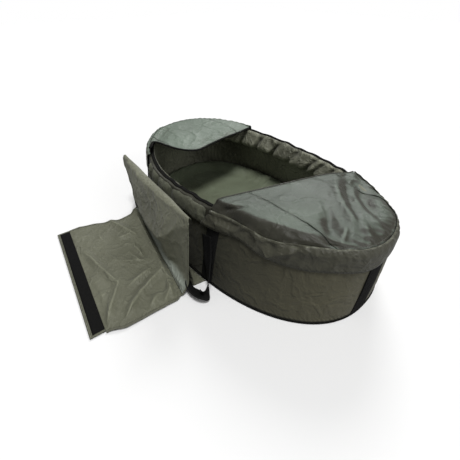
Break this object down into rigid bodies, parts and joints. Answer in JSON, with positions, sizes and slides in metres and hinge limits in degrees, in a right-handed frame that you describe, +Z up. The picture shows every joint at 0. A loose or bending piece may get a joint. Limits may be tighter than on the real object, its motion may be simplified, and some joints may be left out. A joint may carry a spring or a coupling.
{
  "type": "carp cradle",
  "caption": "Padded oval fish cradle with foam walls, a cap over each end, a fold-over flap cover lying open and webbing handles.",
  "frame": {"origin": "the ground under the middle of the tub's base, on the bottom sheet's under side", "axes": "+X along the tub towards the near end cap, -Y to the side where the flap lies open, +Z up"},
  "size_m": [1.1414, 1.0584, 0.2998],
  "materials": {
    "olive_wall": "matt coated nylon, dark olive grey",
    "olive_flap": "creased nylon, olive grey",
    "cap_cloth": "coated nylon, grey-green with a dull sheen",
    "lining_cloth": "gathered nylon, green-grey",
    "mat_cloth": "smooth wipe-clean cloth, sage green",
    "black_trim": "black webbing, piping, binding, hooks and loops",
    "foam": "closed-cell foam, hidden"
  },
  "bodies": {
    "tub": {"base_sheet": "black_trim", "base_piping": "black_trim", "base_foam": "foam", "floor_mat": "mat_cloth", "outer_wall": "olive_wall", "near_foam": "foam", "right_foam": "foam", "far_foam": "foam", "left_foam": "foam", "lining": "lining_cloth", "rim_binding": "black_trim", "left_near_webbing": "black_trim", "left_far_webbing": "black_trim", "right_near_webbing": "black_trim", "right_far_webbing": "black_trim", "near_nose_webbing": "black_trim", "far_nose_webbing": "black_trim", "loop_strip": "black_trim", "flap_root": "olive_flap"},
    "near_cap": {"near_cap_crown": "cap_cloth", "near_cap_left_gusset": "cap_cloth", "near_cap_right_gusset": "cap_cloth", "near_cap_skirt": "cap_cloth", "near_cap_hem": "black_trim", "near_cap_front_hem": "cap_cloth"},
    "far_cap": {"far_cap_crown": "cap_cloth", "far_cap_left_gusset": "cap_cloth", "far_cap_right_gusset": "cap_cloth", "far_cap_skirt": "cap_cloth", "far_cap_hem": "black_trim", "far_cap_front_hem": "black_trim"},
    "flap_back": {"flap_back": "olive_flap"},
    "flap_fold": {"flap_fold": "olive_flap"},
    "flap_wing": {"flap_wing": "olive_flap", "flap_wing_far_tape": "olive_flap", "flap_wing_near_tape": "olive_flap"},
    "flap_apron": {"flap_apron": "olive_flap", "flap_apron_far_tape": "olive_flap", "flap_apron_near_tape": "olive_flap"},
    "flap_tip": {"flap_tip": "olive_flap", "flap_tip_tape": "olive_flap", "hook_strip": "black_trim"},
    "left_handle": {"left_handle": "black_trim"},
    "right_handle": {"right_handle": "black_trim"}
  },
  "joints": [
    {"name": "near_cap_lift", "type": "slide", "parent": "tub", "child": "near_cap", "axis": [0, 0, 1], "range_m": [0, 0.2]},
    {"name": "far_cap_lift", "type": "slide", "parent": "tub", "child": "far_cap", "axis": [0, 0, 1], "range_m": [0, 0.2]},
    {"name": "flap_back_lean", "type": "hinge", "parent": "tub", "child": "flap_back", "pos_m": [-0.08233, -0.34185, 0.0028], "axis": [-0.6848, 0.0449, 0.7274], "range_deg": [0, 10.3]},
    {"name": "flap_ridge_turn", "type": "hinge", "parent": "flap_back", "child": "flap_fold", "pos_m": [-0.13033, -0.32343, 0.2735], "axis": [-0.9914, 0.1305, 0], "range_deg": [0, 155.9]},
    {"name": "flap_wing_swing", "type": "hinge", "parent": "flap_fold", "child": "flap_wing", "pos_m": [-0.13425, -0.35317, 0.2735], "axis": [-0.9914, 0.1305, 0], "range_deg": [0, 101.6]},
    {"name": "flap_close", "type": "hinge", "parent": "flap_wing", "child": "flap_apron", "pos_m": [-0.13425, -0.35317, 0.0016], "axis": [0.9914, -0.1305, 0], "range_deg": [0, 79.8]},
    {"name": "flap_tip_bend", "type": "hinge", "parent": "flap_apron", "child": "flap_tip", "pos_m": [-0.17092, -0.63177, 0.0028], "axis": [-0.9914, 0.1305, 0], "range_deg": [0, 74.8]},
    {"name": "left_handle_swing", "type": "hinge", "parent": "tub", "child": "left_handle", "pos_m": [-0.1509, -0.25686, 0.17], "axis": [-0.9883, 0.1525, 0], "range_deg": [0, 170], "deforming": ["left_handle"]},
    {"name": "right_handle_swing", "type": "hinge", "parent": "tub", "child": "right_handle", "pos_m": [-0.15362, 0.26555, 0.17], "axis": [0.9941, 0.1086, 0], "range_deg": [0, 170], "deforming": ["right_handle"]}
  ],
  "couplings": [
    {"joint": "flap_back_lean", "follows": "flap_close", "ratio": 0.12905},
    {"joint": "flap_ridge_turn", "follows": "flap_close", "ratio": 1.9535},
    {"joint": "flap_wing_swing", "follows": "flap_close", "ratio": 1.2719},
    {"joint": "flap_tip_bend", "follows": "flap_close", "ratio": 0.93593}
  ]
}
